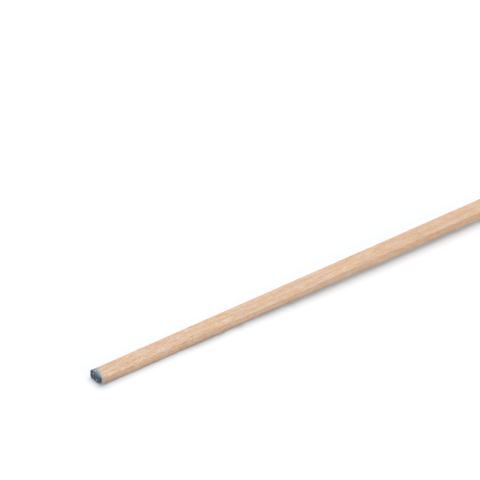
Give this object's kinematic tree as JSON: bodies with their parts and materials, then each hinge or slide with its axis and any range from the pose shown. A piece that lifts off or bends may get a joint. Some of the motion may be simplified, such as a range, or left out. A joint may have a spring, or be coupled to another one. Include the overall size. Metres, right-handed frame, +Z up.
{
  "type": "carpenter pencil",
  "caption": "Long flat carpenter's pencil of bare wood: rectangular section with eased edges, blunt end dipped blue, other end knife-cut to a chisel-shaped lead, for marking timber.",
  "frame": {"origin": "centre of the flat underside, half way along and half way across the pencil", "axes": "+X along the pencil towards the sharpened point, +Y across its width, +Z up out of the broad upper face"},
  "size_m": [0.3, 0.011, 0.005],
  "materials": {
    "beech": "bare planed beech, dull",
    "dried_glue": "clear amber film",
    "graphite": "dark grey with a soft metallic sheen",
    "blue_dip": "thin slate blue colour soaked into end grain"
  },
  "bodies": {
    "root": {"upper_slat": "beech", "lower_slat": "beech", "glue_bed": "dried_glue", "lead_core": "graphite", "end_dip": "blue_dip"}
  },
  "joints": []
}
